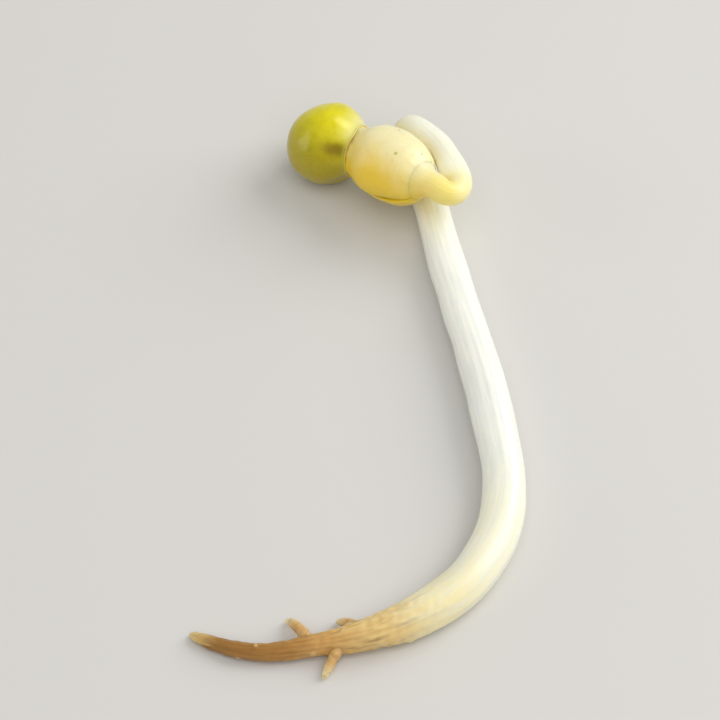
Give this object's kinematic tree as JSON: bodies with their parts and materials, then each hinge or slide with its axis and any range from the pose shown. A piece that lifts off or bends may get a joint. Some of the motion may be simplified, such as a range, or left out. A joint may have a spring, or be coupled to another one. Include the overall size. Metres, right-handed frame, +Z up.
{
  "type": "mung bean sprout",
  "caption": "Sprouted mung bean lying down: white stem with a curled neck and tapering root, two seed leaves with the first leaves between them, and a split green seed coat.",
  "frame": {"origin": "on the surface that the sprout lies on, under the middle of its bounding box", "axes": "+Y along the stem towards the seed leaves, +X to the right, +Z up"},
  "size_m": [0.0166, 0.035, 0.0053],
  "materials": {
    "stem": "moist waxy white plant tissue, cream at the neck and tan towards the root's tip",
    "cotyledon": "smooth pale yellow bean flesh, cream on the side that the light falls on",
    "plumule": "soft yellow-green young leaf",
    "seed_coat": "glossy yellow-green bean skin, olive on its shaded side"
  },
  "bodies": {
    "root": {"stem": "stem", "cotyledon_upper": "cotyledon", "cotyledon_lower": "cotyledon", "plumule": "plumule", "seed_coat": "seed_coat"}
  },
  "joints": []
}
